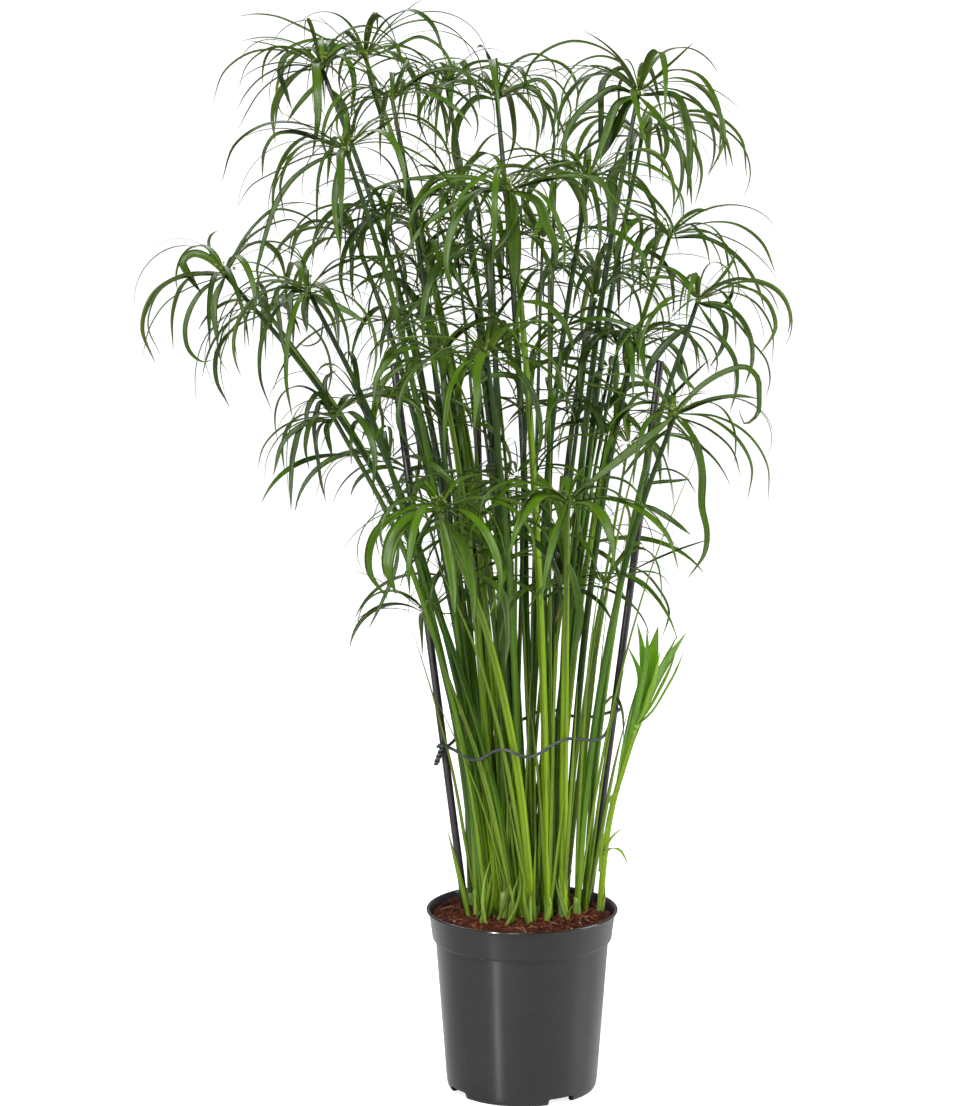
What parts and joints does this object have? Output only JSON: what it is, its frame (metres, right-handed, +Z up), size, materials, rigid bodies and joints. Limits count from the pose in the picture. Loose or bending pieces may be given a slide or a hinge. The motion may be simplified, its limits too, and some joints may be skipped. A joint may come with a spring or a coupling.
{
  "type": "potted cyperus",
  "caption": "Tall umbrella sedge in a dark round nursery pot: slender green stems with arching crowns of bracts, held by thin stakes and a wire tie.",
  "frame": {"origin": "middle of the pot's foot, on the surface that the pot stands on", "axes": "+Z up along the pot's axis; -Y is the front, towards the viewer of the picture; +X is the viewer's right"},
  "size_m": [0.62, 0.5695, 1.065],
  "materials": {
    "pot_plastic": "satin injection-moulded polypropylene, charcoal grey",
    "peat": "moist reddish-brown peat and coir, coarse and fibrous",
    "stake_plastic": "purple-black smooth plastic",
    "wire_coating": "grey plastic coating on soft wire",
    "stem_green": "smooth ribbed stem, yellow-green at the foot to dark green at the top",
    "bract_green": "satin leaf with fine lengthwise veins"
  },
  "bodies": {
    "root": {"pot": "pot_plastic", "soil": "peat", "stake_left": "stake_plastic", "stake_right": "stake_plastic", "stake_back": "stake_plastic", "tie_wire": "wire_coating", "stem_01": "stem_green", "stem_02": "stem_green", "stem_03": "stem_green", "stem_04": "stem_green", "stem_05": "stem_green", "stem_06": "stem_green", "stem_07": "stem_green", "stem_08": "stem_green", "stem_09": "stem_green", "stem_10": "stem_green", "stem_11": "stem_green", "stem_12": "stem_green", "stem_13": "stem_green", "stem_14": "stem_green", "stem_15": "stem_green", "stem_16": "stem_green", "stem_17": "stem_green", "stem_18": "stem_green", "stem_19": "stem_green", "stem_20": "stem_green", "stem_21": "stem_green", "stem_22": "stem_green", "stem_23": "stem_green", "stem_24": "stem_green", "stem_25": "stem_green", "stem_26": "stem_green", "stem_27": "stem_green", "leaf_crown_01": "bract_green", "leaf_crown_02": "bract_green", "leaf_crown_03": "bract_green", "leaf_crown_04": "bract_green", "leaf_crown_05": "bract_green", "leaf_crown_06": "bract_green", "leaf_crown_07": "bract_green", "leaf_crown_08": "bract_green", "leaf_crown_09": "bract_green", "leaf_crown_10": "bract_green", "leaf_crown_11": "bract_green", "leaf_crown_12": "bract_green", "leaf_crown_13": "bract_green", "leaf_crown_14": "bract_green", "leaf_crown_15": "bract_green", "leaf_crown_16": "bract_green", "leaf_crown_17": "bract_green", "leaf_crown_18": "bract_green", "leaf_crown_19": "bract_green", "leaf_crown_20": "bract_green", "leaf_crown_21": "bract_green", "leaf_crown_22": "bract_green", "leaf_crown_23": "bract_green", "leaf_crown_24": "bract_green", "leaf_crown_25": "bract_green", "leaf_crown_26": "bract_green", "leaf_crown_27": "bract_green"}
  },
  "joints": []
}
